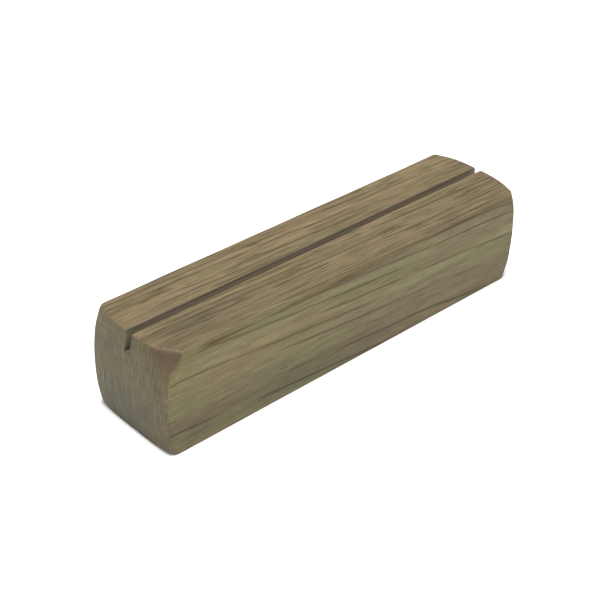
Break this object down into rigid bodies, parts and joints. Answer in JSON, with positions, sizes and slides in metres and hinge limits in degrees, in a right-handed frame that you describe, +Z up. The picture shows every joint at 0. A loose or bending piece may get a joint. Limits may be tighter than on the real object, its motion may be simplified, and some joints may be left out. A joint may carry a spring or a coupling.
{
  "type": "table number holder",
  "caption": "Square bar of solid oak with a narrow saw-cut slot along its top, which holds a table number or place card upright.",
  "frame": {"origin": "centre of the bottom face, on the surface that the block stands on", "axes": "+X along the grain and the slot, which is the block's length; +Y across the block; +Z up, out of the slot's mouth"},
  "size_m": [0.15, 0.035, 0.035],
  "materials": {
    "oak": "bare planed and sanded oak, no varnish"
  },
  "bodies": {
    "root": {"oak_block": "oak"}
  },
  "joints": []
}
